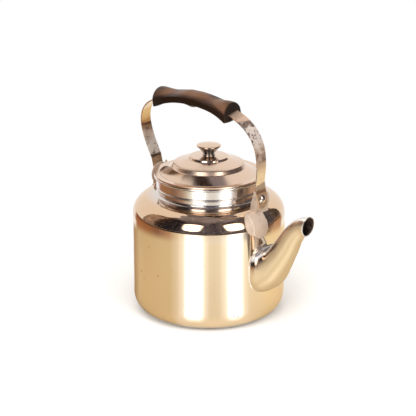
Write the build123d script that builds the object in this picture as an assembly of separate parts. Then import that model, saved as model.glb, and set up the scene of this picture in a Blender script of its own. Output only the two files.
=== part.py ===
from build123d import *
from math import asin, cos, radians, sin, tan
import os

# Stove-top kettle in polished sheet steel: drawn body, separate neck collar, lofted gooseneck
# spout, swinging strap bail with a two-part moulded grip, and a lift-off stepped lid.
# Millimetres, +Z up. The origin is on the body's axis at the underside of the base, and the
# spout points along +X. The bail turns about an axis parallel to X and is drawn at rest,
# leaning towards -Y against the cheek of the front ear.

# Body
body_radius = 80.0
body_wall = 1.0
base_corner_radius = 20.0
wall_top_height = 106.0
shoulder_radius = 20.0
shoulder_slope = 9.8
neck_radius = 53.3
neck_fillet = 3.0
neck_rise = 13.3

# Neck collar, measured out from the neck and up from its own foot
collar_overlap = 5.4
collar_height = 14.4
collar_band_thickness = 1.3
collar_ridge_width = 1.6
collar_ridge_height = 1.8
collar_bead_width = 3.7
collar_bead_height = 3.4

# Lid: edge, then rises of each tier of the dome from the edge up to the plateau
lid_sheet = 1.0
lid_edge_thickness = 1.5
lid_hem_width = 2.0
lid_flat_width = 6.0
lid_flare_rise = 6.5
lid_step_radius = 37.6
lid_step_rise = 4.3
lid_crown_rise = 4.4
plateau_radius = 20.6
plateau_rise = 3.3
skirt_depth = 9.0
skirt_sheet = 0.9
skirt_clearance = 0.35

# Knob and its fastening
knob_radius = 12.7
knob_foot_radius = 6.8
knob_waist_radius = 5.7
knob_height = 12.2
knob_crown = 1.5
knob_edge_thickness = 2.0
screw_radius = 2.0
screw_reach = 7.5
screw_head_radius = 3.8
screw_head_height = 2.2
screw_clearance = 0.05
washer_radius = 6.0
washer_thickness = 0.8

# Spout: stations of its centre line as distance out from the wall, rise above the root, heading
# in degrees above +X, half width across, half height in the plane of the bend, and squareness
spout_wall = 1.0
spout_root_height = 61.5
spout_port_radius = 16.5
spout_section_points = 16
spout_stations = [
    (-8.0, 0.0, 4, 23.4, 22.8, 2.8),
    (0.8, 0.0, 6, 23.0, 22.4, 2.7),
    (4.6, 1.4, 14, 20.6, 20.2, 2.4),
    (9.6, 5.6, 36, 17.8, 17.6, 2.2),
    (15.2, 13.3, 54, 15.0, 15.0, 2.0),
    (23.6, 26.1, 58, 13.2, 13.2, 2.0),
    (29.8, 36.7, 60, 11.9, 11.9, 2.0),
    (34.4, 44.9, 56, 10.8, 10.8, 2.0),
    (40.6, 52.8, 42, 9.7, 9.9, 2.0),
    (47.0, 57.6, 22, 9.4, 9.7, 2.0),
    (53.4, 59.2, -3, 9.4, 10.2, 2.0),
]

# Bail strap, in its own upright plane, with heights measured up from the pivot
pivot_rise = 10.3
bail_lean = 12.5
strap_width = 13.5
strap_thickness = 1.3
strap_leg_inset = 5.9
strap_bulge = 6.6
strap_tail = 10.0
strap_elbow_height = 16.7
strap_kink_angle = 15.4
strap_kink_radius = 4.0
strap_haunch_radius = 92.0
strap_crown_angle = 26.8

# Grip, two moulded halves closed round the crown of the strap. Stations run from the middle past
# one end as a share of the half angle, half width, crest above the curve, depth below the joint,
# and upright cuts part the ends off.
grip_curve_radius = 136.9
grip_half_angle = 23.7
grip_half_length = 50.8
grip_end_rounding = 1.8
grip_cover = 4.2
grip_upper_side = 1.3
grip_lower_side = 5.6
grip_channel_clearance = 0.1
grip_stations = [
    (0.0, 9.7, -1.0, 11.5),
    (0.29, 9.6, -2.1, 6.6),
    (0.57, 9.7, -1.3, 6.1),
    (0.76, 10.8, 3.1, 6.4),
    (0.9, 12.2, 5.2, 7.3),
    (1.1, 13.6, 5.6, 7.8),
    (1.3, 14.8, 6.0, 8.2),
]
grip_screw_share = 0.62
grip_screw_radius = 1.6
grip_screw_head_radius = 3.0
grip_screw_head_height = 1.6
grip_screw_reach = 3.0

# Ears: heights below the pivot, offsets across the ear
ear_sheet = 1.2
ear_running_gap = 0.2
ear_stop_gap = 0.25
tab_radius = 12.2
tab_drop = 2.7
cheek_overhang = 0.9
cheek_foot_depth = 4.8
ear_foot_drop = 11.4
wing_offset = 7.0
wing_drop = 23.2
wing_span = 38.0
wing_height = 22.0
leaf_offset = 9.5
leaf_drop = 24.5
leaf_half_width = 9.8
leaf_half_height = 13.2
leaf_raise = 0.9

# Pivot rivets
rivet_radius = 2.5
rivet_clearance = 0.05
rivet_head_radius = 4.6
rivet_head_height = 2.2
rivet_tail_radius = 3.6
rivet_tail_height = 1.2

# Heights and radii that follow
slope = radians(shoulder_slope)
shoulder_top = wall_top_height + shoulder_radius * cos(slope)
neck_top = shoulder_top + neck_rise
collar_foot = neck_top - collar_overlap
rim_height = collar_foot + collar_height
lid_top = rim_height + lid_edge_thickness
lid_radius = neck_radius + collar_bead_width
step_base = lid_top + lid_flare_rise
step_top = step_base + lid_step_rise
plateau_base = step_top + lid_crown_rise
plateau_top = plateau_base + plateau_rise
pivot_height = shoulder_top + pivot_rise
leg_radius = body_radius - strap_leg_inset
strap_curve_radius = grip_curve_radius - grip_cover
joint_radius = strap_curve_radius - strap_thickness
lean = radians(bail_lean)


def revolved(edges):
    return revolve(Plane.XZ * make_face(Curve() + edges), Axis.Z)


def cap_arc(edge, top):
    """Arc from an edge point in to the axis, where it lies level: the profile of a domed cap."""
    height = top - edge[1]
    radius = (edge[0] ** 2 + height ** 2) / (2 * height)
    half = asin(edge[0] / radius) / 2
    return ThreePointArc(edge, (radius * sin(half), top - radius * (1 - cos(half))), (0, top))


def body_solid(inset, top):
    """Solid inside the body's outer surface, moved inwards by inset and cut off at top."""
    corner = (body_radius - base_corner_radius, base_corner_radius)
    shoulder = (body_radius - shoulder_radius, wall_top_height)
    fillet_x = neck_radius + neck_fillet
    reach = shoulder_radius + neck_fillet - sin(slope) * (fillet_x - shoulder[0])
    corner_arc = CenterArc(corner, base_corner_radius - inset, -90, 90)
    shoulder_arc = CenterArc(shoulder, shoulder_radius - inset, 0, 90 - shoulder_slope)
    neck_arc = CenterArc((fillet_x, wall_top_height + reach / cos(slope)), neck_fillet + inset,
                         -90 - shoulder_slope, shoulder_slope - 90)
    return revolved([
        Line((0, inset), corner_arc @ 0), corner_arc,
        Line(corner_arc @ 1, shoulder_arc @ 0), shoulder_arc,
        Line(shoulder_arc @ 1, neck_arc @ 0), neck_arc,
        Polyline(neck_arc @ 1, (neck_radius - inset, top), (0, top), (0, inset)),
    ])


def oval_section(half_width, half_height, squareness):
    """Closed spline through points of a superellipse, which is a plain oval at squareness 2."""
    points = []
    for i in range(spout_section_points):
        angle = radians(360 * i / spout_section_points)
        c, s = cos(angle), sin(angle)
        points.append((
            half_width * abs(c) ** (2 / squareness) * (1 if c > 0 else -1),
            half_height * abs(s) ** (2 / squareness) * (1 if s > 0 else -1),
        ))
    return make_face(Spline(*points, periodic=True))


def spout_loft(inset, overrun):
    """Gooseneck through the stations, thinned by inset and run past its mouth by overrun."""
    stations = list(spout_stations)
    if overrun:
        out, rise, heading, *section = stations[-1]
        stations.append((out + overrun * cos(radians(heading)),
                         rise + overrun * sin(radians(heading)), heading, *section))
    sections = []
    for out, rise, heading, half_width, half_height, squareness in stations:
        plane = Plane(origin=(body_radius + out, 0, spout_root_height + rise), x_dir=(0, 1, 0),
                      z_dir=(cos(radians(heading)), 0, sin(radians(heading))))
        sections.append(plane * oval_section(half_width - inset, half_height - inset, squareness))
    return loft(sections)


# Body: one drawn shell, open at the neck, with the spout's port through its wall
body_envelope = body_solid(0, neck_top)
port = extrude(Plane.YZ * Pos(0, spout_root_height) * Circle(spout_port_radius),
               body_radius + body_wall)
body_shell = body_envelope - body_solid(body_wall, neck_top + body_wall) - port

# Collar: slipped over the neck, with a ridge at its foot and a rolled bead at the rim
ridge_out = neck_radius + collar_ridge_width
ridge_in = ridge_out - collar_ridge_height / 2
ridge_top = collar_foot + collar_ridge_height
band_out = neck_radius + collar_band_thickness
bead_in = lid_radius - collar_bead_height / 2
bead_foot = rim_height - collar_bead_height
neck_collar = revolved([
    Polyline((bead_in, rim_height), (neck_radius, rim_height), (neck_radius, collar_foot),
             (ridge_in, collar_foot)),
    ThreePointArc((ridge_in, collar_foot), (ridge_out, (collar_foot + ridge_top) / 2),
                  (ridge_in, ridge_top)),
    Polyline((ridge_in, ridge_top), (band_out, ridge_top + collar_ridge_height / 2),
             (band_out, bead_foot), (bead_in, bead_foot)),
    ThreePointArc((bead_in, bead_foot), (lid_radius, (bead_foot + rim_height) / 2),
                  (bead_in, rim_height)),
])

# Spout: hollow loft, trimmed to the body's wall
spout = spout_loft(0, 0) - spout_loft(spout_wall, 3 * spout_wall) - body_envelope

# Lid: stepped dome in one sheet, with a hem that rests on the collar's bead
lid_line = FilletPolyline(
    (0, plateau_top),
    (plateau_radius / 2, plateau_top),
    (plateau_radius - 0.4, plateau_top - 0.8),
    (plateau_radius + 0.5, plateau_base),
    (lid_step_radius - 1.2, step_top),
    (lid_step_radius + 0.6, step_base),
    (lid_radius - lid_flat_width, lid_top),
    (lid_radius, lid_top),
    radius=[4.0, 1.4, 1.2, 2.0, 1.4, 1.4],
)
dome_face = make_face(Wire(lid_line.edges()).offset_2d(lid_sheet, side=Side.RIGHT))
hem_face = Pos(lid_radius - lid_hem_width / 2, (rim_height + lid_top) / 2) * RectangleRounded(
    lid_hem_width, lid_edge_thickness, lid_edge_thickness / 3)
screw_hole = Cylinder(screw_radius + screw_clearance, 2 * (screw_reach + screw_clearance))
lid_shell = revolve(Plane.XZ * (dome_face + hem_face), Axis.Z) - Pos(0, 0, plateau_top) * screw_hole

# Locating skirt under the lid
skirt_top = lid_top - lid_sheet
skirt_radius = neck_radius - skirt_clearance
lid_skirt = Pos(0, 0, skirt_top - skirt_depth / 2) * (
    Cylinder(skirt_radius, skirt_depth) - Cylinder(skirt_radius - skirt_sheet, skirt_depth))

# Knob: turned, with a wide crowned disc above a narrow waist, held by a screw from below
knob_rim = knob_height - knob_crown
knob_side = knob_rim - knob_edge_thickness
knob_blank = revolved([
    Polyline((0, knob_height), (0, 0), (knob_foot_radius, 0), (knob_foot_radius, 0.5),
             (knob_waist_radius, 1.7), (knob_radius - 1.2, knob_side)),
    ThreePointArc((knob_radius - 1.2, knob_side), (knob_radius, (knob_side + knob_rim) / 2),
                  (knob_radius - 0.7, knob_rim)),
    cap_arc((knob_radius - 0.7, knob_rim), knob_height),
])
knob = Pos(0, 0, plateau_top) * (knob_blank - screw_hole)
washer_top = plateau_top - lid_sheet
screw_seat = washer_top - washer_thickness
knob_washer = Pos(0, 0, (washer_top + screw_seat) / 2) * (
    Cylinder(washer_radius, washer_thickness)
    - Cylinder(screw_radius + screw_clearance, washer_thickness))
screw_head = Cylinder(screw_head_radius, screw_head_height)
screw_head = fillet(screw_head.edges().group_by(Axis.Z)[0], screw_head_height / 2)
screw_end = plateau_top + screw_reach
knob_screw = Pos(0, 0, screw_seat - screw_head_height / 2) * screw_head + Pos(
    0, 0, (screw_seat + screw_end) / 2) * Cylinder(screw_radius, screw_end - screw_seat)

# Ears: a sheet bracket on each side of the body. Wing, leaf and foot lie on the shoulder, the
# round tab stands up behind the strap, and the cheek beside it is the bail's stop.
tab_outer = leg_radius - strap_thickness - ear_running_gap
tab_inner = tab_outer - ear_sheet
tab_centre = pivot_height - tab_drop
tab_top = tab_centre + tab_radius
cheek_y = ((tab_top - pivot_height) * tan(lean) + strap_width / 2 / cos(lean) + ear_stop_gap)
cheek_edge = tab_outer + cheek_overhang
foot_top = pivot_height - ear_foot_drop
wing_level = pivot_height - wing_drop
wing = Pos(-wing_offset, wing_level) * SlotOverall(wing_span, wing_height)
leaf = Pos(-leaf_offset, pivot_height - leaf_drop) * Ellipse(leaf_half_width, leaf_half_height)
foot = make_face(Polyline(
    (-cheek_y - ear_sheet, foot_top), (tab_radius - 2, foot_top), (tab_radius - 2, wing_level),
    (-cheek_y - ear_sheet, wing_level), close=True))
flat_layer = body_solid(-ear_sheet, neck_top) - body_envelope
raised_layer = body_solid(-ear_sheet - leaf_raise, neck_top) - body_envelope
outward = Plane.YZ.offset(body_radius / 2)
ear_pad = (flat_layer & extrude(outward * (wing + foot), body_radius)) + (
    raised_layer & extrude(outward * leaf, body_radius))
tab_stem = Pos(0, (tab_centre + wall_top_height) / 2) * Rectangle(
    2 * tab_radius - 4, tab_centre - wall_top_height)
tab_trim = Pos(-cheek_y - tab_radius, tab_centre) * Rectangle(2 * tab_radius, 6 * tab_radius)
tab_face = Pos(0, tab_centre) * Circle(tab_radius) + tab_stem - tab_trim
tab = extrude(Plane.YZ.offset(tab_inner) * tab_face, ear_sheet)
cheek_face = make_face(Polyline(
    (tab_outer, tab_top), (cheek_edge, tab_top - 2), (cheek_edge, wall_top_height),
    (tab_inner - cheek_foot_depth, wall_top_height), (tab_inner - cheek_foot_depth, foot_top),
    (tab_inner - 0.75 * cheek_foot_depth, tab_centre), (tab_inner, tab_top), close=True))
cheek = extrude(Plane.XZ.offset(cheek_y) * cheek_face, ear_sheet)
rivet_hole = Pos(tab_inner, 0, pivot_height) * Rot(0, 90, 0) * Cylinder(rivet_radius, 4 * ear_sheet)
ear_front = ear_pad + (tab + cheek - body_envelope) - rivet_hole
ear_rear = Rot(0, 0, 180) * ear_front

# Pivot rivets: domed head outside the strap, tail upset against the tab
head_seat = leg_radius + ear_running_gap
rivet = revolved([
    Polyline((0, head_seat + rivet_head_height), (0, tab_inner - rivet_tail_height),
             (rivet_tail_radius, tab_inner - rivet_tail_height), (rivet_tail_radius, tab_inner),
             (rivet_radius, tab_inner), (rivet_radius, head_seat), (rivet_head_radius, head_seat)),
    cap_arc((rivet_head_radius, head_seat), head_seat + rivet_head_height),
])
pivot_rivet_front = Pos(0, 0, pivot_height) * Rot(0, 90, 0) * rivet
pivot_rivet_rear = Rot(0, 0, 180) * pivot_rivet_front

# Bail strap: the elbow's height over the pivot sets the height of all above it. Half of the outer
# line is drawn from the crown down to the tail, thickened inwards and mirrored.
half_angle = radians(strap_crown_angle)
half_span = leg_radius + strap_bulge
side_radius = (half_span - strap_curve_radius * sin(half_angle)) / (1 - sin(half_angle))
kink = radians(strap_kink_angle)
kink_radii = strap_haunch_radius + strap_kink_radius
waist_length = (strap_bulge - kink_radii * (1 - cos(kink))) / sin(kink)
side_foot = strap_elbow_height + kink_radii * sin(kink) + waist_length * cos(kink)
curve_centre = side_foot + (side_radius - strap_curve_radius) * cos(half_angle)
crown = JernArc((0, curve_centre + strap_curve_radius), (1, 0), strap_curve_radius, -strap_crown_angle)
side = JernArc(crown @ 1, crown % 1, side_radius, strap_crown_angle - 90)
haunch = JernArc(side @ 1, side % 1, strap_haunch_radius, -strap_kink_angle)
waist = Line(haunch @ 1, haunch @ 1 + (haunch % 1) * waist_length)
elbow = JernArc(waist @ 1, waist % 1, strap_kink_radius, strap_kink_angle)
leg = Line(elbow @ 1, (leg_radius, -strap_tail))
half_line = Wire([crown.edge(), side.edge(), haunch.edge(), waist.edge(), elbow.edge(), leg.edge()])
half_strap = make_face(half_line.offset_2d(strap_thickness, side=Side.RIGHT))
strap_blank = extrude(Plane.XZ * (half_strap + mirror(half_strap, Plane.YZ)), strap_width / 2, both=True)
tail_corners = strap_blank.edges().filter_by(Axis.X).group_by(Axis.Z)[0]
strap_blank = fillet(tail_corners, 0.48 * strap_width)

# Grip: one blank lofted along the curve, then parted at the strap's inner face
stations = [(-share, *rest) for share, *rest in reversed(grip_stations[1:])] + grip_stations
grip_sections = []
for share, half_width, crest, depth in stations:
    angle = radians(share * grip_half_angle)
    top_side, low_side = joint_radius + grip_upper_side, joint_radius - grip_lower_side
    section = make_face(Curve() + [
        Line((half_width, low_side), (half_width, top_side)),
        ThreePointArc((half_width, top_side), (0, grip_curve_radius + crest), (-half_width, top_side)),
        Line((-half_width, top_side), (-half_width, low_side)),
        ThreePointArc((-half_width, low_side), (0, joint_radius - depth), (half_width, low_side)),
    ])
    grip_sections.append(Plane(origin=(0, 0, curve_centre), x_dir=(0, 1, 0),
                               z_dir=(cos(angle), 0, -sin(angle))) * section)
grip_blank = loft(grip_sections) & (Pos(0, 0, curve_centre + grip_curve_radius) * Box(
    2 * grip_half_length, 4 * strap_width, grip_curve_radius))
grip_blank = fillet(grip_blank.faces().filter_by(Axis.X).edges(), grip_end_rounding)


def drum(radius, width):
    """Disc about the grip's centre of curvature, lying across the bail."""
    return Pos(0, 0, curve_centre) * Rot(90, 0, 0) * Cylinder(radius, width)


def grip_bar(share, radius, start, end):
    """Round bar along a radius of the grip's curve, at a share of its half angle."""
    return Pos(0, 0, curve_centre) * Rot(0, share * grip_half_angle, 0) * Pos(
        0, 0, (start + end) / 2) * Cylinder(radius, end - start)


screw_shares = (-grip_screw_share, grip_screw_share)
head_depth = min(depth for share, half_width, crest, depth in grip_stations) - grip_screw_head_height
screw_shoulder = joint_radius - head_depth
screw_tip = strap_curve_radius + grip_screw_reach / 2
grip_bore = Part() + [grip_bar(share, grip_screw_radius, joint_radius - 20, screw_tip)
                      for share in screw_shares]
head_bore = Part() + [grip_bar(share, grip_screw_head_radius, joint_radius - 20, screw_shoulder)
                      for share in screw_shares]
channel = drum(strap_curve_radius, strap_width + 2 * grip_channel_clearance)
grip_upper_flat = grip_blank - drum(joint_radius, 4 * strap_width) - channel - grip_bore
grip_lower_flat = (grip_blank & drum(joint_radius, 4 * strap_width)) - grip_bore - head_bore
grip_screws_flat = [
    grip_bar(share, grip_screw_radius, screw_shoulder, screw_tip)
    + grip_bar(share, grip_screw_head_radius, screw_shoulder - grip_screw_head_height, screw_shoulder)
    for share in screw_shares]
pivot_hole = Rot(0, 90, 0) * Cylinder(rivet_radius + rivet_clearance, 4 * body_radius)
strap_flat = strap_blank - pivot_hole - grip_bore

# The whole bail stands on its pivot line and leans by its resting angle
resting = Pos(0, 0, pivot_height) * Rot(bail_lean, 0, 0)
nodes = {
    "body_shell": body_shell,
    "neck_collar": neck_collar,
    "spout": spout,
    "ear_front": ear_front,
    "ear_rear": ear_rear,
    "pivot_rivet_front": pivot_rivet_front,
    "pivot_rivet_rear": pivot_rivet_rear,
    "bail_strap": resting * strap_flat,
    "grip_upper": resting * grip_upper_flat,
    "grip_lower": resting * grip_lower_flat,
    "grip_screw_rear": resting * grip_screws_flat[0],
    "grip_screw_front": resting * grip_screws_flat[1],
    "lid_shell": lid_shell,
    "lid_skirt": lid_skirt,
    "knob": knob,
    "knob_washer": knob_washer,
    "knob_screw": knob_screw,
}

os.makedirs("parts", exist_ok=True)
for name, solid in nodes.items():
    export_step(solid, f"parts/{name}.step")
    print(name, len(solid.solids()), "solid,", round(solid.volume, 1), "mm3")
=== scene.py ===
# Stove-top kettle in polished sheet steel, with a swinging strap bail, a moulded grip and a lift-off
# lid: floor, light, camera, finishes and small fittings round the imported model.
import math

import bpy
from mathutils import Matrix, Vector


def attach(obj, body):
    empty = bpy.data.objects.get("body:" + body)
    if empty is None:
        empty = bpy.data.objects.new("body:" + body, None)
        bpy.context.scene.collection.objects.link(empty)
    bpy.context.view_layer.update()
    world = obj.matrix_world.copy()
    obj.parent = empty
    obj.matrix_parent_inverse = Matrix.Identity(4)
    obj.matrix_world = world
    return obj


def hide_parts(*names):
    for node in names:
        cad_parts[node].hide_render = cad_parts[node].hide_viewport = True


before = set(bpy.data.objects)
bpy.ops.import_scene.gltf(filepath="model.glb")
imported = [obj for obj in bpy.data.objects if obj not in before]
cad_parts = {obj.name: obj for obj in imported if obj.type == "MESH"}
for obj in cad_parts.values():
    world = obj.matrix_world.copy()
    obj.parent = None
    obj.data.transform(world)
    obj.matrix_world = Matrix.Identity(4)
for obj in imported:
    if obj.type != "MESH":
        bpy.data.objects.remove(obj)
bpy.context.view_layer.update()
bpy.ops.object.select_all(action="DESELECT")
print("frame loaded:", len(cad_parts), "nodes")

perMetre = 1000  # the kettle's dictionaries are in millimetres and degrees, and Blender is in metres
cameraTurn = 43.0  # degrees from -Y towards the spout, where the camera's side of the kettle is


def linear(hexColour):  # sRGB hex to the linear colour that a socket takes
    parts = [int(hexColour[i:i + 2], 16) / 255 for i in (1, 3, 5)]
    return [c / 12.92 if c <= 0.04045 else ((c + 0.055) / 1.055) ** 2.4 for c in parts] + [1.0]


# Adds a node with its settings. An input takes a value, a hex colour, a socket, or a node, which stands
# for the first of its outputs that is in use
def addNode(tree, kind, inputs=None, **settings):
    node = tree.nodes.new("ShaderNode" + kind)
    for name, value in settings.items():
        setattr(node, name, value)
    for socket, value in (inputs or {}).items():
        if isinstance(value, bpy.types.Node):
            value = next(output for output in value.outputs if output.enabled)
        if isinstance(value, bpy.types.NodeSocket):
            tree.links.new(value, node.inputs[socket])
        else:
            node.inputs[socket].default_value = linear(value) if isinstance(value, str) else value
    return node


def rampOver(tree, value, stops, unit=1):  # stops are places, each divided by the unit, and colours
    low, high = stops[0][0] / unit, stops[-1][0] / unit
    share = addNode(tree, "MapRange", {"Value": value, "From Min": low, "From Max": high})
    ramp = addNode(tree, "ValToRGB", {"Fac": share})
    marks = ramp.color_ramp.elements
    while len(marks) < len(stops):
        marks.new(0.5)
    for mark, (level, colour) in zip(marks, stops):
        mark.position = (level / unit - low) / (high - low)
        mark.color = linear(colour)
    return ramp


def softMask(tree, *edges):  # 1 where each edge has faded in: a value, and where its fade starts and ends
    steps = [addNode(tree, "MapRange", {"Value": value, "From Min": start, "From Max": end},
                     interpolation_type="SMOOTHSTEP") for value, start, end in edges]
    mask = steps[0]
    for step in steps[1:]:
        mask = addNode(tree, "Math", {0: mask, 1: step}, operation="MULTIPLY")
    return mask


def paintOver(tree, tone, *layers):  # each layer is a mask and the colour that it lays over those before it
    for mask, colour in layers:
        tone = addNode(tree, "Mix", {"Factor": mask, "A": tone, "B": colour}, data_type="RGBA")
    return tone


def newMaterial(name):
    material = bpy.data.materials.new(name)
    material.use_nodes = True
    material.node_tree.nodes.clear()
    return material, material.node_tree


def frontDirection(turn, rise):  # unit vector, turned from the camera's side and raised
    a, e = math.radians(cameraTurn + turn), math.radians(rise)
    return Vector((math.sin(a) * math.cos(e), -math.cos(a) * math.cos(e), math.sin(e)))


def onlyInMirrors(item, lightsToo):  # a card that polished metal shows and the camera doesn't
    item.visible_camera = False
    item.visible_shadow = False
    item.visible_diffuse = lightsToo


# The studio's dictionaries are in metres, with turns and rises in degrees from the camera's side
camera = {"place": (0.8774, -0.9421, 0.5476), "target": (-0.0006, -0.00056, 0.1094), "lens": 112.0,
          "sensor": 36.0, "farthest": 40.0}


def buildCamera():
    bpy.ops.object.camera_add(location=camera["place"])
    eye = bpy.context.object
    aim = Vector(camera["target"]) - Vector(camera["place"])
    eye.rotation_euler = aim.to_track_quat("-Z", "Y").to_euler()
    eye.data.lens = camera["lens"]
    eye.data.sensor_width = camera["sensor"]
    eye.data.clip_end = camera["farthest"]
    bpy.context.scene.camera = eye


floor = {"size": 24.0, "colour": "#F4F2EF", "fade": (0.12, 0.42)}  # metres over which paper turns to white


def buildFloor():
    bpy.ops.mesh.primitive_plane_add(size=floor["size"], location=(0, 0, 0))
    sweep = bpy.context.object
    sweep.name = "floor"
    material, tree = newMaterial("matt paper sweep")  # heavy matt paper: no gloss, only the soft shadow
    place = addNode(tree, "TexCoord").outputs["Object"]
    away = addNode(tree, "VectorMath", {0: place}, operation="LENGTH")
    paper = addNode(tree, "BsdfDiffuse", {"Color": floor["colour"], "Roughness": 1.0})
    plain = addNode(tree, "Emission", {"Color": "#FFFFFF", "Strength": 1.0})
    mix = addNode(tree, "MixShader", {0: softMask(tree, (away, *floor["fade"])), 1: paper, 2: plain})
    addNode(tree, "OutputMaterial", {"Surface": mix})
    sweep.data.materials.append(material)


sky = {"lightOnMatt": 0.68}  # under 1, because the windows and the lamp light matt surfaces too


def buildSky():  # plain light for matt surfaces, and pure white for the camera, metal and glass
    world = bpy.data.worlds.new("white studio")
    bpy.context.scene.world = world
    world.use_nodes = True
    tree = world.node_tree
    tree.nodes.clear()
    ray = addNode(tree, "LightPath").outputs
    seen = addNode(tree, "Math", {0: ray["Is Camera Ray"], 1: ray["Is Glossy Ray"]}, operation="ADD")
    seen = addNode(tree, "Math", {0: seen, 1: ray["Is Transmission Ray"]}, operation="ADD", use_clamp=True)
    lightOnly = addNode(tree, "Background", {"Color": "#FFFFFF", "Strength": sky["lightOnMatt"]})
    backdrop = addNode(tree, "Background", {"Color": "#FFFFFF", "Strength": 1.0})
    mix = addNode(tree, "MixShader", {0: seen, 1: lightOnly, 2: backdrop})
    addNode(tree, "OutputWorld", {"Surface": mix})


hood = {"radius": 2.6, "segments": (144, 72), "lowest": -0.03,  # share of the radius, just under the floor
        "colours": ((-133, "#7A6250"), (-118, "#86705E"), (-104, "#A8948A"), (-91, "#A8948A"),
                    (-84, "#4A3C34"), (-68, "#2B2930"), (-50, "#2D2A32"), (-38, "#5C5A68"),
                    (0, "#5E5C6A"), (10, "#4E4C5A"), (25, "#6C6A76"), (60, "#5C5862"), (135, "#5E5550"),
                    (227, "#5E5550")),
        "ceiling": "#8A8894", "ceilingFrom": (0.80, 0.93),  # shares of the way up to straight overhead
        "unevenness": (0.55, 1.6), "unevenScale": 2.2, "unevenFrom": (0.3, 0.75),
        "glints": (0.66, 0.70), "glintScale": 7.0, "glintShare": 0.7,
        # how far back it reaches, at places from the camera's left to its right, both as shares
        "edge": ((-1, -0.45), (-0.85, -0.31), (-0.7, -0.24), (-0.6, -0.05), (-0.4, 0.0), (-0.3, -0.22),
                 (-0.22, -0.28), (-0.17, -0.56), (0.2, -0.58), (0.26, -0.28), (0.3, -0.26), (0.42, -0.06),
                 (0.53, -0.1), (0.58, -0.56), (0.75, -0.66), (1, -0.66))}


def hoodEdge(side):
    for (near, first), (far, second) in zip(hood["edge"], hood["edge"][1:]):
        if side <= far:
            return first + (second - first) * (side - near) / (far - near)
    return hood["edge"][-1][1]


def buildHood():  # the dark side of the studio, over and behind the camera
    segments, rings = hood["segments"]
    bpy.ops.mesh.primitive_uv_sphere_add(segments=segments, ring_count=rings, radius=hood["radius"])
    shell = bpy.context.object
    shell.name = "darkHood"
    toCamera, toRight = frontDirection(0, 0), frontDirection(90, 0)
    bpy.ops.object.mode_set(mode="EDIT")
    bpy.ops.mesh.select_all(action="DESELECT")
    bpy.ops.object.mode_set(mode="OBJECT")
    for face in shell.data.polygons:
        way = face.center.normalized()
        face.select = way.z < hood["lowest"] or way.dot(toCamera) < hoodEdge(way.dot(toRight))
    bpy.ops.object.mode_set(mode="EDIT")
    bpy.ops.mesh.delete(type="FACE")
    bpy.ops.object.mode_set(mode="OBJECT")
    material, tree = newMaterial("dark room beyond the light")  # dim walls, uneven, with a few small glints
    place = addNode(tree, "TexCoord").outputs["Object"]
    axes = addNode(tree, "SeparateXYZ", {0: place}).outputs
    angle = addNode(tree, "Math", {0: axes["Y"], 1: axes["X"]}, operation="ARCTAN2")
    turn = addNode(tree, "Math", {0: angle, 1: 180 / math.pi, 2: 90 - cameraTurn}, operation="MULTIPLY_ADD")
    clutter = addNode(tree, "TexNoise", {"Vector": place, "Scale": hood["unevenScale"], "Detail": 3.0})
    (least, most), (low, high) = hood["unevenFrom"], hood["unevenness"]
    strength = addNode(tree, "MapRange", {"Value": clutter, "From Min": least, "From Max": most,
                                          "To Min": low, "To Max": high})
    twigs = addNode(tree, "TexNoise", {"Vector": place, "Scale": hood["glintScale"], "Detail": 3.0})
    glints = addNode(tree, "Math", {0: softMask(tree, (twigs, *hood["glints"])), 1: hood["glintShare"]},
                     operation="MULTIPLY")
    share = addNode(tree, "Math", {0: axes["Z"], 1: hood["radius"]}, operation="DIVIDE")
    overhead = softMask(tree, (share, *hood["ceilingFrom"]))
    shade = paintOver(tree, rampOver(tree, turn, hood["colours"]), (overhead, hood["ceiling"]),
                      (glints, "#FFFFFF"))
    glow = addNode(tree, "Emission", {"Color": shade, "Strength": strength})
    addNode(tree, "OutputMaterial", {"Surface": glow})
    shell.data.materials.append(material)
    onlyInMirrors(shell, False)


# Each window's place is a turn, a rise, a width and a height
windows = {"strength": 3.4, "places": ((-26, 30, 1.3, 2.2), (40, 28, 1.3, 2.3)), "distance": 2.45,
           "curtain": "#6C6A76", "edge": (1.0, 0.35)}


def buildWindows():
    material, tree = newMaterial("window daylight")  # overcast sky, soft towards the curtains' edges
    uv = addNode(tree, "TexCoord").outputs["UV"]
    centred = addNode(tree, "Mapping", {"Vector": uv, "Location": (-1, -1, 0), "Scale": (2, 2, 0)})
    squared = addNode(tree, "VectorMath", {0: centred, 1: centred}, operation="MULTIPLY")
    edge = addNode(tree, "VectorMath", {0: squared}, operation="LENGTH")
    glow = addNode(tree, "Emission", {"Color": "#FFFFFF", "Strength": windows["strength"]})
    curtain = addNode(tree, "Emission", {"Color": windows["curtain"], "Strength": 1.0})
    mix = addNode(tree, "MixShader", {0: softMask(tree, (edge, *windows["edge"])), 1: curtain, 2: glow})
    addNode(tree, "OutputMaterial", {"Surface": mix})
    for number, (turn, rise, width, height) in enumerate(windows["places"]):
        way = frontDirection(turn, rise)
        bpy.ops.mesh.primitive_plane_add(size=1, location=way * windows["distance"],
                                         rotation=way.to_track_quat("Z", "Y").to_euler())
        window = bpy.context.object
        window.name = "window" + str(number)
        window.scale = (width, height, 1)
        bpy.ops.object.transform_apply(location=True, rotation=True, scale=True)
        window.data.materials.append(material)
        onlyInMirrors(window, True)


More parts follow.
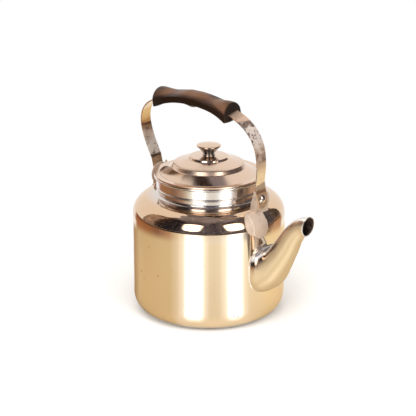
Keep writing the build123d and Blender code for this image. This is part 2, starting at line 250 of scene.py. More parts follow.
# The table that the steel mirrors. Places outwards are shares of the sheet, 0 at the kettle's wall, and
# the power that crowds them keeps the near rows fine
tableLight = {
    "reach": 180, "wall": 0.072, "depth": 2.3, "crowding": 3, "grid": (140, 24), "height": 0.0006,
    "nearEnds": (0.483, 0.505), "middleEnds": (0.60, 0.68), "streaksStart": (0.15, 0.3), "shadeShift": 0.08,
    "glareColour": "#E0F0FF", "glareStrength": 2.2,
    "near": ((-180, "#F9E6BE"), (-172, "#F4F3F8"), (-163, "#F4F3F8"), (-154, "#B08C68"),
             (-128, "#D1BA95"), (-108, "#D4BB93"), (-80, "#DDC59E"), (-59, "#E2CDA5"), (-44, "#FAEBD4"),
             (0, "#FDF0D8"), (60, "#FDF0D8"), (98, "#F9E6BE"), (120, "#F7E0B8"), (140, "#F3DCB8"),
             (180, "#F9E6BE")),
    "middle": ((-180, "#FFFFFF"), (-146, "#FFFFFF"), (-136, "#B17B58"), (-100, "#A67550"),
               (-82, "#936B58"), (-61, "#C49D81"), (-44, "#FCF3DB"), (0, "#FFFAF0"), (46, "#FFFFFF"),
               (60, "#77685E"), (78, "#736862"), (96, "#8A6A50"), (108, "#CEA687"), (136, "#C8A080"),
               (142, "#FFFFFF"), (180, "#FFFFFF")),
    "far": ((-180, "#FFFFFF"), (-142, "#FFFFFF"), (-134, "#A06E50"), (-97, "#6F5342"), (-80, "#6F5342"),
            (-66, "#3A302B"), (-50, "#2E2622"), (-38, "#5A504C"), (0, "#655C5A"), (10, "#463C3C"),
            (60, "#5A504C"), (132, "#8A6A50"), (138, "#FFFFFF"), (180, "#FFFFFF")),
    "glare": ((-180, "#000000"), (-47, "#000000"), (-38, "#6A6A6A"), (-29, "#FFFFFF"), (-15, "#FFFFFF"),
              (-6, "#747474"), (1, "#242424"), (7, "#000000"), (15, "#282828"), (25, "#7A7A7A"),
              (34, "#FFFFFF"), (44, "#FFFFFF"), (53, "#6A6A6A"), (62, "#000000"), (180, "#000000")),
    "shade": ((-180, "#000000"), (58, "#000000"), (63, "#FFFFFF"), (77, "#FFFFFF"), (84, "#000000"),
              (180, "#000000"))}


def buildTableLight():  # window light and warm ground on the table, laid out as the wall mirrors them
    look = tableLight
    columns, rows = look["grid"]
    bpy.ops.mesh.primitive_grid_add(x_subdivisions=columns, y_subdivisions=rows, size=1)
    sheet = bpy.context.object
    sheet.name = "tableLight"
    for vertex in sheet.data.vertices:
        turn, share = 2 * look["reach"] * vertex.co.x, vertex.co.y + 0.5
        foot = frontDirection(turn / 2, 0) * look["wall"]
        spot = foot + frontDirection(turn, 0) * look["depth"] * share ** look["crowding"]
        vertex.co = (spot.x, spot.y, look["height"])
    material, tree = newMaterial("daylight on a wooden table")  # warm ground, two window streaks
    uv = addNode(tree, "SeparateXYZ", {0: addNode(tree, "TexCoord").outputs["UV"]}).outputs
    turn = addNode(tree, "MapRange", {"Value": uv["X"], "To Min": -look["reach"], "To Max": look["reach"]})
    closer = addNode(tree, "Math", {0: rampOver(tree, turn, look["shade"]), 1: look["shadeShift"],
                                    2: uv["Y"]}, operation="MULTIPLY_ADD")
    pastNear = softMask(tree, (closer, *look["nearEnds"]))
    pastMiddle = softMask(tree, (uv["Y"], *look["middleEnds"]))
    near, middle, far = [rampOver(tree, turn, look[key]) for key in ("near", "middle", "far")]
    tint = paintOver(tree, near, (pastNear, middle), (pastMiddle, far))
    streak = paintOver(tree, rampOver(tree, turn, look["glare"]), (pastMiddle, "#000000"))
    streak = paintOver(tree, "#000000", (softMask(tree, (uv["Y"], *look["streaksStart"])), streak))
    streak = addNode(tree, "Mix", {"Factor": 1.0, "A": streak, "B": look["glareColour"]},
                     data_type="RGBA", blend_type="MULTIPLY")
    through = addNode(tree, "BsdfTransparent", {"Color": tint})
    glow = addNode(tree, "Emission", {"Color": streak, "Strength": look["glareStrength"]})
    both = addNode(tree, "AddShader", {0: through, 1: glow})
    addNode(tree, "OutputMaterial", {"Surface": both})
    sheet.data.materials.append(material)
    onlyInMirrors(sheet, False)


lamp = {"place": (0.3, -0.5, 1.6), "size": 1.4, "power": 14}


def buildLamp():
    bpy.ops.object.light_add(type="AREA", location=lamp["place"])
    softbox = bpy.context.object
    softbox.name = "softboxOverhead"
    softbox.data.size = lamp["size"]
    softbox.data.energy = lamp["power"]
    softbox.rotation_euler = (-Vector(lamp["place"])).to_track_quat("-Z", "Y").to_euler()
    softbox.visible_glossy = False
    softbox.visible_camera = False


buildCamera()
buildFloor()
buildSky()
buildHood()
buildWindows()
buildTableLight()
buildLamp()
bpy.context.scene.view_settings.view_transform = "Standard"
print("studio built")


def wear(material, *nodes):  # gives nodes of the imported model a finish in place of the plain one
    for node in nodes:
        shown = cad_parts[node]
        shown.data.materials.clear()
        shown.data.materials.append(material)


# What the buffing wheel and the years leave on all the sheet steel. The scales are repeats in a metre:
# rubbed patches are some 35 mm across, finger haze 22 mm and dents 45 mm. The depths are millimetres
buffing = {"arc": 0.004,  # metres of pattern to each radian round, so that the marks run round
           "threadScale": (60, 1500, 60), "threadTurn": (0.4, 0.9, 0.5), "threads": (0.69, 0.76),
           "patchScale": 28.0, "hazeScale": 45.0, "haze": (0.35, 0.7), "dentScale": 22.0,
           "dentDepth": 1.0, "markDepth": 0.1, "rubDepth": 0.05, "rubStrength": 0.3,
           "rubRoughness": 0.25, "rubShade": 0.35, "rubColour": "#8F8072", "brushRoughness": 0.4,
           "nickRagged": 1.2, "nickEdge": (0.8, 0.5), "nickColour": "#5A4638"}


# Stainless steel sheet, drawn or spun, then buffed: a warm mirror with fine turning marks that run round
# it, hairline rubs where hands and cloths go, faint finger haze and the slightest unevenness of a dent.
def buffedSkin(tree, place, axes, look):
    flat = addNode(tree, "VectorMath", {0: place, 1: (1, 1, 0)}, operation="MULTIPLY")
    radius = addNode(tree, "VectorMath", {0: flat}, operation="LENGTH")
    angle = addNode(tree, "Math", {0: axes["Y"], 1: axes["X"]}, operation="ARCTAN2")
    around = addNode(tree, "Math", {0: angle, 1: buffing["arc"]}, operation="MULTIPLY")
    turned = addNode(tree, "CombineXYZ", {0: radius, 1: around, 2: axes["Z"]})
    # turning marks are about 0.1 mm apart on the real one, and drawn several times coarser so they show
    marks = addNode(tree, "TexNoise", {"Vector": turned, "Scale": perMetre / look["markSpacing"],
                                       "Detail": 2.0})
    # hairlines: thin threads of a stretched noise, some 0.2 mm wide, kept to a few rubbed patches
    slant = addNode(tree, "Mapping", {"Vector": place, "Rotation": buffing["threadTurn"],
                                      "Scale": buffing["threadScale"]})
    threads = addNode(tree, "TexNoise", {"Vector": slant, "Scale": 1.0, "Detail": 1.0})
    patches = addNode(tree, "TexNoise", {"Vector": place, "Scale": buffing["patchScale"], "Detail": 2.0})
    scratch = softMask(tree, (threads, *buffing["threads"]), (patches, *look["rubbed"]))
    haze = addNode(tree, "TexNoise", {"Vector": place, "Scale": buffing["hazeScale"], "Detail": 4.0})
    (clear, hazy), (low, high) = buffing["haze"], look["roughness"]
    rough = addNode(tree, "MapRange", {"Value": haze, "From Min": clear, "From Max": hazy,
                                       "To Min": low, "To Max": high})
    rough = addNode(tree, "Math", {0: scratch, 1: buffing["rubRoughness"], 2: rough},
                    operation="MULTIPLY_ADD")
    if "brushed" in look:  # bands that were left as they came off the brush, whiter for rougher
        brushed = rampOver(tree, axes["Z"], look["brushed"], perMetre)
        rough = addNode(tree, "Math", {0: brushed, 1: buffing["brushRoughness"], 2: rough},
                        operation="MULTIPLY_ADD")
    dents = addNode(tree, "TexNoise", {"Vector": place, "Scale": buffing["dentScale"], "Detail": 1.0})
    relief = addNode(tree, "Bump", {"Height": dents, "Strength": look["waviness"],
                                    "Distance": buffing["dentDepth"] / perMetre})
    relief = addNode(tree, "Bump", {"Height": marks, "Strength": look["markStrength"],
                                    "Distance": buffing["markDepth"] / perMetre, "Normal": relief})
    relief = addNode(tree, "Bump", {"Height": scratch, "Strength": buffing["rubStrength"],
                                    "Distance": buffing["rubDepth"] / perMetre, "Normal": relief},
                     invert=True)
    return rough, relief, scratch, threads


def sheetSteel(name, look):
    material, tree = newMaterial(name)
    place = addNode(tree, "TexCoord").outputs["Object"]
    axes = addNode(tree, "SeparateXYZ", {0: place}).outputs
    rough, relief, scratch, threads = buffedSkin(tree, place, axes, look)
    rubs = addNode(tree, "Math", {0: scratch, 1: buffing["rubShade"]}, operation="MULTIPLY")
    tone = paintOver(tree, rampOver(tree, axes["Z"], look["tones"], perMetre),
                     (rubs, buffing["rubColour"]))
    first, last = buffing["nickEdge"]
    for x, y, z, size in look.get("nicks", ()):  # small dark dents and specks, each at its place
        near = addNode(tree, "VectorMath", {0: place, 1: (x / perMetre, y / perMetre, z / perMetre)},
                       operation="DISTANCE")
        ragged = addNode(tree, "Math", {0: threads, 1: buffing["nickRagged"] / perMetre, 2: near},
                         operation="MULTIPLY_ADD")
        nick = softMask(tree, (ragged, (size + first) / perMetre, (size / 2 + last) / perMetre))
        tone = paintOver(tree, tone, (nick, buffing["nickColour"]))
    metal = addNode(tree, "BsdfPrincipled", {"Base Color": tone, "Metallic": 1.0, "Roughness": rough,
                                             "Normal": relief})
    addNode(tree, "OutputMaterial", {"Surface": metal})
    return material


# Tones and brushed bands go by the height above the floor, and a nick is its place and its size
body = {"tones": ((0, "#EEE1CE"), (98, "#EEE0CB"), (108, "#E4CDB2"), (116, "#E2C1A0"), (125, "#E2C1A0"),
                  (127, "#D8CEC6"), (134, "#D8CEC6")),
        "brushed": ((0, "#000000"), (126.5, "#000000"), (128, "#909090"), (134, "#909090")),
        "roughness": (0.02, 0.06), "rubbed": (0.5, 0.66), "markSpacing": 0.5, "markStrength": 0.02,
        "waviness": 0.05,
        "nicks": ((-9.2, -79.5, 85.0, 0.7), (-19.2, -77.7, 47.8, 0.8), (3.7, -79.9, 56.9, 0.7),
                  (-24.2, -76.2, 53.8, 0.9), (68.9, -40.7, 20.0, 0.8), (70.5, -37.8, 18.7, 0.9),
                  (72.3, -33.8, 17.2, 1.0), (51.4, -61.3, 75.2, 0.4))}
wear(sheetSteel("polished drawn steel", body), "body_shell")

lid = {"tones": ((140, "#E4C8B0"), (156, "#E4C6AE"), (185, "#E6CAB2")),
       "brushed": ((140, "#181818"), (155.5, "#181818"), (156.5, "#A8A8A8"), (160.5, "#A8A8A8"),
                   (161.5, "#101010"), (185, "#101010")),
       "roughness": (0.11, 0.2), "rubbed": (0.45, 0.6), "markSpacing": 0.4, "markStrength": 0.05,
       "waviness": 0.01}
wear(sheetSteel("polished spun steel", lid), "lid_shell", "lid_skirt")

knob = {"tones": ((160, "#D6C6BA"), (168.8, "#CDBFB4"), (170, "#ABA6A4"), (177, "#ABA6A4"),
                  (177.8, "#E4C6AC"), (185, "#E2C4A6")),
        "brushed": ((160, "#707070"), (163, "#9A9A9A"), (177, "#9A9A9A"), (177.8, "#202020"),
                    (185, "#202020")),
        "roughness": (0.12, 0.18), "rubbed": (0.45, 0.6), "markSpacing": 0.4, "markStrength": 0.1,
        "waviness": 0.01}
wear(sheetSteel("turned knob steel", knob), "knob", "knob_washer", "knob_screw", "pivot_rivet_front",
     "pivot_rivet_rear")

collar = {"tones": ((130, "#E2DAD2"), (150, "#E2DAD2")), "roughness": (0.14, 0.22), "rubbed": (0.5, 0.6),
          "markSpacing": 0.4, "markStrength": 0.08, "waviness": 0.01}
wear(sheetSteel("rolled collar steel", collar), "neck_collar")
print("body, lid and collar polished")

# Bands by the height above the floor, on the strip's end at the spout and on its rear end, and how dull the
# strip is worn there, whiter for duller. The darker bands and the golden cast in the front and rear tones
# are painted reflections
strap = {"front": ((120, "#F2DEC4"), (142.5, "#F2DEC4"), (143.5, "#B49880"), (145.5, "#B49880"),
                   (148, "#ECDCC2"), (177, "#EEDFC8"), (178.5, "#A88C74"), (194, "#C9AF98"),
                   (200, "#DCCBC0"), (213, "#D8C6BA"), (214, "#7A6458"), (218, "#8A7264"),
                   (219.5, "#E0BEA4"), (236, "#E6C4A8")),
         "rear": ((120, "#D8BC9C"), (144, "#C9AA8A"), (146, "#A08468"), (152.5, "#A08468"),
                  (153.3, "#6E5848"), (155.3, "#6E5848"), (156, "#E0D0C2"), (168, "#E4D6C8"),
                  (178, "#CDB49C"), (187.5, "#B8967A"), (188.5, "#80604A"), (190, "#80604A"),
                  (191.5, "#E0C69C"), (236, "#E4CCA4")),
         "dullFront": ((120, "#6C6C6C"), (143, "#6C6C6C"), (148, "#8A8A8A"), (177, "#8A8A8A"),
                       (179, "#C8C8C8"), (196, "#E8E8E8"), (217, "#E8E8E8"), (220, "#404040"),
                       (236, "#383838")),
         "dullRear": ((120, "#404040"), (152, "#808080"), (157, "#E0E0E0"), (182, "#D0D0D0"),
                      (190, "#585858"), (236, "#505050")),
         "pale": "#E6D6CA", "paleFrom": (0.5, 0.3), "blotch": "#5F5049",
         "pits": (0.50, 0.60), "smears": (0.44, 0.58), "worn": (0.3, 0.5),
         "pitScale": 520.0, "smearScale": 110.0, "lineScale": (900, 900, 60),
         "reliefDepth": 0.1, "pitStrength": 0.25, "lineStrength": 0.15,
         "roughness": (0.1, 0.5), "lineRoughness": 0.12, "mirror": (1.0, 0.25)}


# Stainless strip, rolled and bent, then rubbed for years: glossy where nothing touches it, and silvery,
# dull and speckled with small dark pits where hands and the pot rub it
def strapSteel():
    look = strap
    material, tree = newMaterial("rubbed strap steel with painted reflections")
    place = addNode(tree, "TexCoord").outputs["Object"]
    axes = addNode(tree, "SeparateXYZ", {0: place}).outputs
    front = addNode(tree, "Math", {0: axes["X"], 1: 0.0}, operation="GREATER_THAN")
    bands = {key: rampOver(tree, axes["Z"], look[key], perMetre)
             for key in ("front", "rear", "dullFront", "dullRear")}
    # the front and rear tones hold painted reflections: darker bands and a golden cast
    tone = paintOver(tree, bands["rear"], (front, bands["front"]))
    dull = paintOver(tree, bands["dullRear"], (front, bands["dullFront"]))
    # pits are 1 to 2 mm across and smears some 9 mm; rub lines run along the strip, about 1 mm apart,
    # which is coarser than the real ones so that they show
    pits = addNode(tree, "TexNoise", {"Vector": place, "Scale": look["pitScale"], "Detail": 4.0})
    smears = addNode(tree, "TexNoise", {"Vector": place, "Scale": look["smearScale"], "Detail": 3.0})
    lines = addNode(tree, "Mapping", {"Vector": place, "Scale": look["lineScale"]})
    lines = addNode(tree, "TexNoise", {"Vector": lines, "Scale": 1.0, "Detail": 2.0})
    spots = softMask(tree, (pits, *look["pits"]), (smears, *look["smears"]), (dull, *look["worn"]))
    bright = addNode(tree, "Math", {0: softMask(tree, (smears, *look["paleFrom"])), 1: dull},
                     operation="MULTIPLY")
    tone = paintOver(tree, tone, (bright, look["pale"]), (spots, look["blotch"]))
    glossy, matt = look["roughness"]
    rough = addNode(tree, "MapRange", {"Value": dull, "To Min": glossy, "To Max": matt})
    rough = addNode(tree, "Math", {0: lines, 1: look["lineRoughness"], 2: rough},
                    operation="MULTIPLY_ADD")
    depth = look["reliefDepth"] / perMetre
    relief = addNode(tree, "Bump", {"Height": pits, "Strength": look["pitStrength"], "Distance": depth})
    relief = addNode(tree, "Bump", {"Height": lines, "Strength": look["lineStrength"],
                                    "Distance": depth, "Normal": relief})
    # a rubbed and pitted skin scatters light as a matt one does, so it is less of a mirror there
    clean, worn = look["mirror"]
    mirror = addNode(tree, "MapRange", {"Value": dull, "To Min": clean, "To Max": worn})
    metal = addNode(tree, "BsdfPrincipled", {"Base Color": tone, "Metallic": mirror, "Roughness": rough,
                                             "Normal": relief})
    addNode(tree, "OutputMaterial", {"Surface": metal})
    return material


wear(strapSteel(), "bail_strap", "grip_screw_front", "grip_screw_rear")

# The leaf is half an ellipse that hangs from leafLow, leafHalf wide to each side and leafTip deep. Its
# edge, and the pale line along it that is a painted highlight, are places on that ellipse's radius, where 1
# is the line itself. It ends at leafTop, and the arm that holds the rivet starts at armFrom
bracket = {"leaf": "#DEC6B0", "leafCentre": -9.4, "leafHalf": 9.3, "leafLow": 107.5, "leafTip": 9.8,
           "leafEdge": (1.03, 0.97), "leafTop": (123.5, 122.5), "armFrom": (121.5, 122.5),
           "wing": "#CDBAA8", "paleWing": (-0.2, -1.0), "rim": "#F2E6DA", "rimIn": (0.94, 0.99),
           "rimOut": (1.04, 1.0), "stain": "#9A8776", "stains": (0.55, 0.85), "stainScale": 160.0,
           "lineScale": (1500, 1500, 90), "lineDepth": 0.1, "lineStrength": 0.2, "leafDepth": 0.4,
           "leafStrength": 0.6, "roughness": (0.14, 0.42), "lineRoughness": 0.1, "mirror": (1.0, 0.45)}


# Steel stampings: the leaf in the middle is brushed and pale, with a painted highlight along its edge, and
# the wings round it keep the press's shine
def bracketSteel():
    look = bracket
    material, tree = newMaterial("pressed bracket steel")
    place = addNode(tree, "TexCoord").outputs["Object"]
    axes = addNode(tree, "SeparateXYZ", {0: place}).outputs
    end = addNode(tree, "Math", {0: axes["X"]}, operation="SIGN")
    across = addNode(tree, "Math", {0: axes["Y"], 1: end}, operation="MULTIPLY")
    across = addNode(tree, "MapRange", {"Value": across, "From Min": look["leafCentre"] / perMetre,
                                        "From Max": (look["leafCentre"] + look["leafHalf"]) / perMetre},
                     clamp=False)
    down = addNode(tree, "MapRange", {"Value": axes["Z"], "From Min": look["leafLow"] / perMetre,
                                      "From Max": (look["leafLow"] - look["leafTip"]) / perMetre})
    reach = addNode(tree, "CombineXYZ", {0: across, 1: down})
    reach = addNode(tree, "VectorMath", {0: reach}, operation="LENGTH")
    under = (axes["Z"], *(height / perMetre for height in look["leafTop"]))
    leaf = softMask(tree, (reach, *look["leafEdge"]), under)
    # a pale line along the leaf's edge: a painted highlight
    rim = softMask(tree, (reach, *look["rimIn"]), (reach, *look["rimOut"]), under)
    side = softMask(tree, (across, *look["paleWing"]))  # this wing is as pale as the leaf
    arm = softMask(tree, (axes["Z"], *(height / perMetre for height in look["armFrom"])))
    pale = addNode(tree, "Math", {0: side, 1: arm}, operation="MAXIMUM")
    pale = addNode(tree, "Math", {0: pale, 1: leaf}, operation="MAXIMUM")
    # brush lines run up the leaf, under 1 mm apart: coarser than the real ones so that they show. The
    # stains are some 6 mm across
    lines = addNode(tree, "Mapping", {"Vector": place, "Scale": look["lineScale"]})
    lines = addNode(tree, "TexNoise", {"Vector": lines, "Scale": 1.0, "Detail": 3.0})
    stain = addNode(tree, "TexNoise", {"Vector": place, "Scale": look["stainScale"], "Detail": 3.0})
    tone = paintOver(tree, look["wing"], (pale, look["leaf"]),
                     (softMask(tree, (stain, *look["stains"])), look["stain"]), (rim, look["rim"]))
    pressed, brushed = look["roughness"]
    rough = addNode(tree, "MapRange", {"Value": pale, "To Min": pressed, "To Max": brushed})
    rough = addNode(tree, "Math", {0: lines, 1: look["lineRoughness"], 2: rough},
                    operation="MULTIPLY_ADD")
    clean, worn = look["mirror"]
    mirror = addNode(tree, "MapRange", {"Value": pale, "To Min": clean, "To Max": worn})
    relief = addNode(tree, "Bump", {"Height": leaf, "Strength": look["leafStrength"],
                                    "Distance": look["leafDepth"] / perMetre})
    relief = addNode(tree, "Bump", {"Height": lines, "Strength": look["lineStrength"],
                                    "Distance": look["lineDepth"] / perMetre, "Normal": relief})
    metal = addNode(tree, "BsdfPrincipled", {"Base Color": tone, "Metallic": mirror, "Roughness": rough,
                                             "Normal": relief})
    addNode(tree, "OutputMaterial", {"Surface": metal})
    return material


stamped = bracketSteel()
wear(stamped, "ear_front", "ear_rear")

# The grip leans with the bail and bends round an arc in its own plane. Tones go by the height above that
# arc, with sideDrop added for each millimetre to either side of the middle
grip = {"tones": ((-12, "#17100C"), (-1.2, "#17100C"), (0.8, "#34231A"), (3.2, "#6E4E3A"),
                  (6.5, "#6E4E3A"), (9.5, "#54392A")),
        "lean": -12.3, "pivot": 136.008, "arcCentre": -30.884, "arcRadius": 131.4, "sideDrop": -0.16,
        "ends": "#241E1B", "endsFrom": (49.2, 50.0), "grime": (-32, -47), "grimeShare": 0.65,
        "flowScale": 90.0, "flow": 0.6, "grainScale": 1600.0, "grainDepth": 0.1, "grainStrength": 0.05,
        "sheen": "#C88E68", "roughness": (0.38, 0.46), "ior": 1.45}


# Phenolic (bakelite), pressed in a mould: near black, with a soft warm brown along the top that is a
# painted sheen, and with slow flow clouds some 11 mm across and a fine grain of 0.6 mm
def mouldedPhenolic():
    look = grip
    material, tree = newMaterial("moulded brown phenolic")
    place = addNode(tree, "TexCoord").outputs["Object"]
    along = addNode(tree, "SeparateXYZ", {0: place}).outputs["X"]
    lean, pivot = math.radians(look["lean"]), look["pivot"] / perMetre
    up = addNode(tree, "VectorMath", {0: place, 1: (0, math.sin(lean), math.cos(lean))},
                 operation="DOT_PRODUCT")
    up = addNode(tree, "Math", {0: up, 1: pivot * math.cos(lean) + look["arcCentre"] / perMetre},
                 operation="SUBTRACT")
    across = addNode(tree, "VectorMath", {0: place, 1: (0, math.cos(lean), -math.sin(lean))},
                     operation="DOT_PRODUCT")
    across = addNode(tree, "Math", {0: across, 1: -pivot * math.sin(lean)}, operation="SUBTRACT")
    across = addNode(tree, "Math", {0: across}, operation="ABSOLUTE")
    reach = addNode(tree, "CombineXYZ", {0: along, 1: up})
    reach = addNode(tree, "VectorMath", {0: reach}, operation="LENGTH")
    arc = look["arcRadius"] / perMetre
    height = addNode(tree, "MapRange", {"Value": reach, "From Min": arc, "From Max": arc + 1 / perMetre},
                     clamp=False)
    height = addNode(tree, "Math", {0: across, 1: look["sideDrop"] * perMetre, 2: height},
                     operation="MULTIPLY_ADD")
    flow = addNode(tree, "TexNoise", {"Vector": place, "Scale": look["flowScale"], "Detail": 4.0})
    flowing = addNode(tree, "MapRange", {"Value": flow, "To Min": -look["flow"], "To Max": look["flow"]})
    height = addNode(tree, "Math", {0: flowing, 1: height}, operation="ADD")
    outward = addNode(tree, "Math", {0: along}, operation="ABSOLUTE")
    start, end = look["grime"]  # darker towards the end away from the spout
    grime = addNode(tree, "Math", {0: softMask(tree, (along, start / perMetre, end / perMetre)),
                                   1: look["grimeShare"]}, operation="MULTIPLY")
    first, last = look["endsFrom"]
    # the warm brown of the higher tones is a painted sheen along the top, narrowed to the middle by
    # sideDrop
    tone = paintOver(tree, rampOver(tree, height, look["tones"]), (grime, look["ends"]),
                     (softMask(tree, (outward, first / perMetre, last / perMetre)), look["ends"]))
    grain = addNode(tree, "TexNoise", {"Vector": place, "Scale": look["grainScale"], "Detail": 2.0})
    relief = addNode(tree, "Bump", {"Height": grain, "Strength": look["grainStrength"],
                                    "Distance": look["grainDepth"] / perMetre})
    low, high = look["roughness"]
    rough = addNode(tree, "MapRange", {"Value": flow, "To Min": low, "To Max": high})
    plastic = addNode(tree, "BsdfPrincipled", {"Base Color": tone, "Roughness": rough, "IOR": look["ior"],
                                               "Specular Tint": look["sheen"], "Normal": relief})
    addNode(tree, "OutputMaterial", {"Surface": plastic})
    return material


wear(mouldedPhenolic(), "grip_upper", "grip_lower")
print("bail and brackets worn")

# Ramps go by the distance from the ridge, as a share of the way round the spout. A rung is how far out and
# up from the base, the heading, half the width, half the height, and 2 for round or more for square
# the pale stops at the ridge and the white ones beside it, given less metal so that they show pale, are a
# painted highlight, and the brown stops beside those a painted reflection
spout = {"over": ((0, "#E6DCD6"), (0.06, "#E6DCD6"), (0.08, "#F4ECE6"), (0.1, "#F4ECE6"),
                  (0.12, "#B79A88"), (0.15, "#BC9E86"), (0.21, "#CEB690"), (0.5, "#CEB690")),
         "mirror": ((0, "#F0F0F0"), (0.06, "#F0F0F0"), (0.08, "#A8A8A8"), (0.1, "#A8A8A8"),
                    (0.12, "#FFFFFF"), (0.15, "#FFFFFF"), (0.21, "#C8C8C8"), (0.5, "#C8C8C8")),
         "satin": ((0, "#6C6C6C"), (0.15, "#6C6C6C"), (0.21, "#AEAEAE"), (0.5, "#AEAEAE")),
         "ridge": 0.25, "rootSpread": 0.07, "rootEnds": (0.3, 0.0), "mouth": "#FBF4EC",
         "mouthFrom": (0.975, 0.985), "roughness": (0.02, 0.06), "rubbed": (0.5, 0.66),
         "markSpacing": 0.6, "markStrength": 0.01, "waviness": 0.01,
         "inside": ("#3A2C24", "#6A5A50"), "crust": (0.35, 0.7), "crustScale": 400.0, "crustDepth": 0.3,
         "crustStrength": 0.4, "crustRoughness": 0.45,
         "base": (80, 61.5), "wallRadius": 80.15, "wallWithin": 3.0,  # rungs among which the wall is met
         "rungs": ((-9, 1.8, 0, 22.8, 24.1, 2.6), (1, 1.65, 1.9, 22.3, 23.96, 2.55),
                   (6.75, 3.7, 11.6, 20.7, 21.6, 2.35), (12.95, 8.3, 22.4, 18.3, 18.27, 2.2),
                   (17.95, 16, 31.7, 15.7, 15.87, 2.1), (23.75, 25.6, 43.7, 13.5, 13.69, 2),
                   (29.35, 35.65, 54.8, 12, 12.05, 2), (34.4, 44.9, 56.3, 10.85, 10.82, 2),
                   (40.6, 52.8, 41.7, 9.8, 9.92, 2), (47, 57.6, 21.8, 9.5, 9.69, 2),
                   (53.2, 59.2, -2.8, 9.6, 10.2, 2)),
         "columns": 96, "rows": 72, "sheet": 0.9, "lipRadius": 0.55}


# The spout was pressed in two halves and welded, polished on its ridge and saddle and left satin below:
# silver above, with a painted highlight, a narrow white line to each side of the ridge, and a painted brown
# reflection beside it, and broad soft lights on the flanks
def spoutSteel():
    look = spout
    material, tree = newMaterial("satin spout steel with painted ridge highlight")
    ways = addNode(tree, "TexCoord").outputs
    axes = addNode(tree, "SeparateXYZ", {0: ways["Object"]}).outputs
    rough, relief, _, _ = buffedSkin(tree, ways["Object"], axes, look)
    uv = addNode(tree, "SeparateXYZ", {0: ways["UV"]}).outputs
    away = addNode(tree, "Math", {0: uv["X"], 1: look["ridge"]}, operation="SUBTRACT")
    away = addNode(tree, "Math", {0: away}, operation="ABSOLUTE")
    root = softMask(tree, (uv["Y"], *look["rootEnds"]))
    away = addNode(tree, "Math", {0: root, 1: -look["rootSpread"], 2: away}, operation="MULTIPLY_ADD")
    # a near-white band round the mouth's lip: a painted highlight
    mouth = softMask(tree, (uv["Y"], *look["mouthFrom"]))
    # the ridge ramp paints the highlight and the brown reflection beside the ridge
    tone = paintOver(tree, rampOver(tree, away, look["over"]), (mouth, look["mouth"]))
    rough = addNode(tree, "Math", {0: rampOver(tree, away, look["satin"]), 1: rough}, operation="ADD")
    metal = addNode(tree, "BsdfPrincipled", {"Base Color": tone, "Roughness": rough, "Normal": relief,
                                             "Metallic": rampOver(tree, away, look["mirror"])})
    addNode(tree, "OutputMaterial", {"Surface": metal})
    return material


# Hard-water scale inside the spout: a dull brown-grey film over the steel, crusted some 2.5 mm across
def scaledInside():
    material, tree = newMaterial("scaled steel inside")
    place = addNode(tree, "TexCoord").outputs["Object"]
    crust = addNode(tree, "TexNoise", {"Vector": place, "Scale": spout["crustScale"], "Detail": 4.0})
    deep, raised = spout["inside"]
    tone = paintOver(tree, deep, (softMask(tree, (crust, *spout["crust"])), raised))
    relief = addNode(tree, "Bump", {"Height": crust, "Strength": spout["crustStrength"],
                                    "Distance": spout["crustDepth"] / perMetre})
    film = addNode(tree, "BsdfPrincipled", {"Base Color": tone, "Roughness": spout["crustRoughness"],
                                            "Normal": relief})
    addNode(tree, "OutputMaterial", {"Surface": film})
    return material


def betweenRungs(along):  # a rung at any share of the way, on a smooth line through them all
    rungs = spout["rungs"]
    step = min(int(along), len(rungs) - 2)
    t = along - step
    near = [rungs[max(0, min(len(rungs) - 1, step + k))] for k in (-1, 0, 1, 2)]
    return [0.5 * (2 * b + (c - a) * t + (2 * a - 5 * b + 4 * c - d) * t * t
                   + (3 * b - a - 3 * c + d) * t ** 3) for a, b, c, d in zip(*near)]


def spoutPoint(around, along):  # in millimetres
    out, rise, heading, halfWidth, halfHeight, square = betweenRungs(along)
    c, s, h = math.cos(around), math.sin(around), math.radians(heading)
    side = halfWidth * math.copysign(abs(c) ** (2 / square), c)
    up = halfHeight * math.copysign(abs(s) ** (2 / square), s)
    baseOut, baseHeight = spout["base"]
    return Vector((baseOut + out - up * math.sin(h), side, baseHeight + rise + up * math.cos(h)))


def meetsWall(around):  # how far along the spout this line of its skin comes out of the body's wall
    inside, outside = 0.0, spout["wallWithin"]
    for _ in range(30):  # halved until it is exact
        middle = (inside + outside) / 2
        point = spoutPoint(around, middle)
        if math.hypot(point.x, point.y) < spout["wallRadius"]:
            inside = middle
        else:
            outside = middle
    return outside


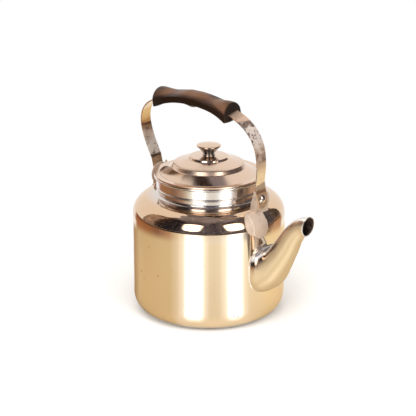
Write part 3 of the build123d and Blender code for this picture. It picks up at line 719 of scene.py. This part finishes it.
def buildSpout(steel, beadSteel):
    columns, rows, last = spout["columns"], spout["rows"], len(spout["rungs"]) - 1
    turns = [2 * math.pi * k / columns for k in range(columns)]
    starts = [meetsWall(turn) for turn in turns]
    bpy.ops.mesh.primitive_grid_add(x_subdivisions=columns, y_subdivisions=rows, size=1)
    tube = bpy.context.object
    tube.name = "spoutSkin"
    for vertex in tube.data.vertices:
        column = round((vertex.co.x + 0.5) * columns) % columns
        along = starts[column] + (last - starts[column]) * (vertex.co.y + 0.5)
        vertex.co = spoutPoint(turns[column], along) / perMetre
    bpy.ops.object.mode_set(mode="EDIT")
    bpy.ops.mesh.select_all(action="SELECT")
    bpy.ops.mesh.remove_doubles(threshold=0.00001)
    bpy.ops.mesh.normals_make_consistent(inside=False)
    bpy.ops.object.mode_set(mode="OBJECT")
    wall = tube.modifiers.new("sheet", "SOLIDIFY")
    wall.thickness = spout["sheet"] / perMetre
    wall.offset = -1.0
    wall.material_offset = 1
    tube.data.materials.append(steel)
    tube.data.materials.append(scaledInside())
    bpy.ops.object.modifier_apply(modifier="sheet")
    bpy.ops.object.shade_smooth_by_angle(angle=math.radians(50))
    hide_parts("spout")
    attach(tube, "kettle")

    # the thin rolled bead where the root is seamed to the wall
    line = bpy.data.curves.new("rootLine", "CURVE")
    line.dimensions = "3D"
    spline = line.splines.new("NURBS")
    spline.points.add(columns - 1)
    for point, turn, start in zip(spline.points, turns, starts):
        point.co = (*(spoutPoint(turn, start) / perMetre), 1)
    spline.order_u = 3
    spline.use_cyclic_u = True
    line.bevel_depth = spout["lipRadius"] / perMetre
    line.bevel_resolution = 3
    line.resolution_u = 2
    lip = bpy.data.objects.new("spoutRootLip", line)
    bpy.context.collection.objects.link(lip)
    bpy.ops.object.select_all(action="DESELECT")
    lip.select_set(True)
    bpy.context.view_layer.objects.active = lip
    bpy.ops.object.convert(target="MESH")
    lip = bpy.context.object
    bpy.ops.object.shade_smooth()
    lip.data.materials.append(beadSteel)
    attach(lip, "kettle")
    print("spout shaped:", len(tube.data.polygons), "faces")


polishedSpout = spoutSteel()
wear(polishedSpout, "spout")
buildSpout(polishedSpout, sheetSteel("polished bead steel", collar))

# Places are on the shoulder at the spout's side, and turned half round for the rear bracket. Facing is
# the upward part of the way the skin faces there, beside the place's own x and y, and proud is how far
# a weld stands off the skin
weld = {"places": ((75.9, -21.7, 112.3), (77.4, -5.9, 115.5)), "radius": 1.15, "flatten": 0.35,
        "proud": 0.4, "facing": 62}


def buildWelds(steel):  # the small round spot welds that hold each bracket to the shoulder
    places = [(x * sign, y * sign, z) for sign in (1, -1) for x, y, z in weld["places"]]
    for number, (x, y, z) in enumerate(places):
        out = Vector((x, y, weld["facing"])).normalized()
        bpy.ops.object.select_all(action="DESELECT")
        bpy.ops.mesh.primitive_uv_sphere_add(segments=24, ring_count=12, radius=weld["radius"] / perMetre)
        dot = bpy.context.object
        dot.name = "spotWeld" + str(number)
        bpy.ops.object.mode_set(mode="EDIT")
        bpy.ops.mesh.select_all(action="SELECT")
        bpy.ops.mesh.bisect(plane_co=(0, 0, 0), plane_no=(0, 0, 1), clear_inner=True, use_fill=True)
        bpy.ops.mesh.select_all(action="SELECT")
        bpy.ops.transform.resize(value=(1, 1, weld["flatten"]))
        bpy.ops.object.mode_set(mode="OBJECT")
        dot.location = (Vector((x, y, z)) + out * weld["proud"]) / perMetre
        dot.rotation_euler = out.to_track_quat("Z", "Y").to_euler()
        bpy.ops.object.transform_apply(location=True, rotation=True, scale=True)
        bpy.ops.object.shade_smooth_by_angle(angle=math.radians(40))
        dot.data.materials.append(steel)
        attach(dot, "kettle")


buildWelds(stamped)
print("small pieces placed")
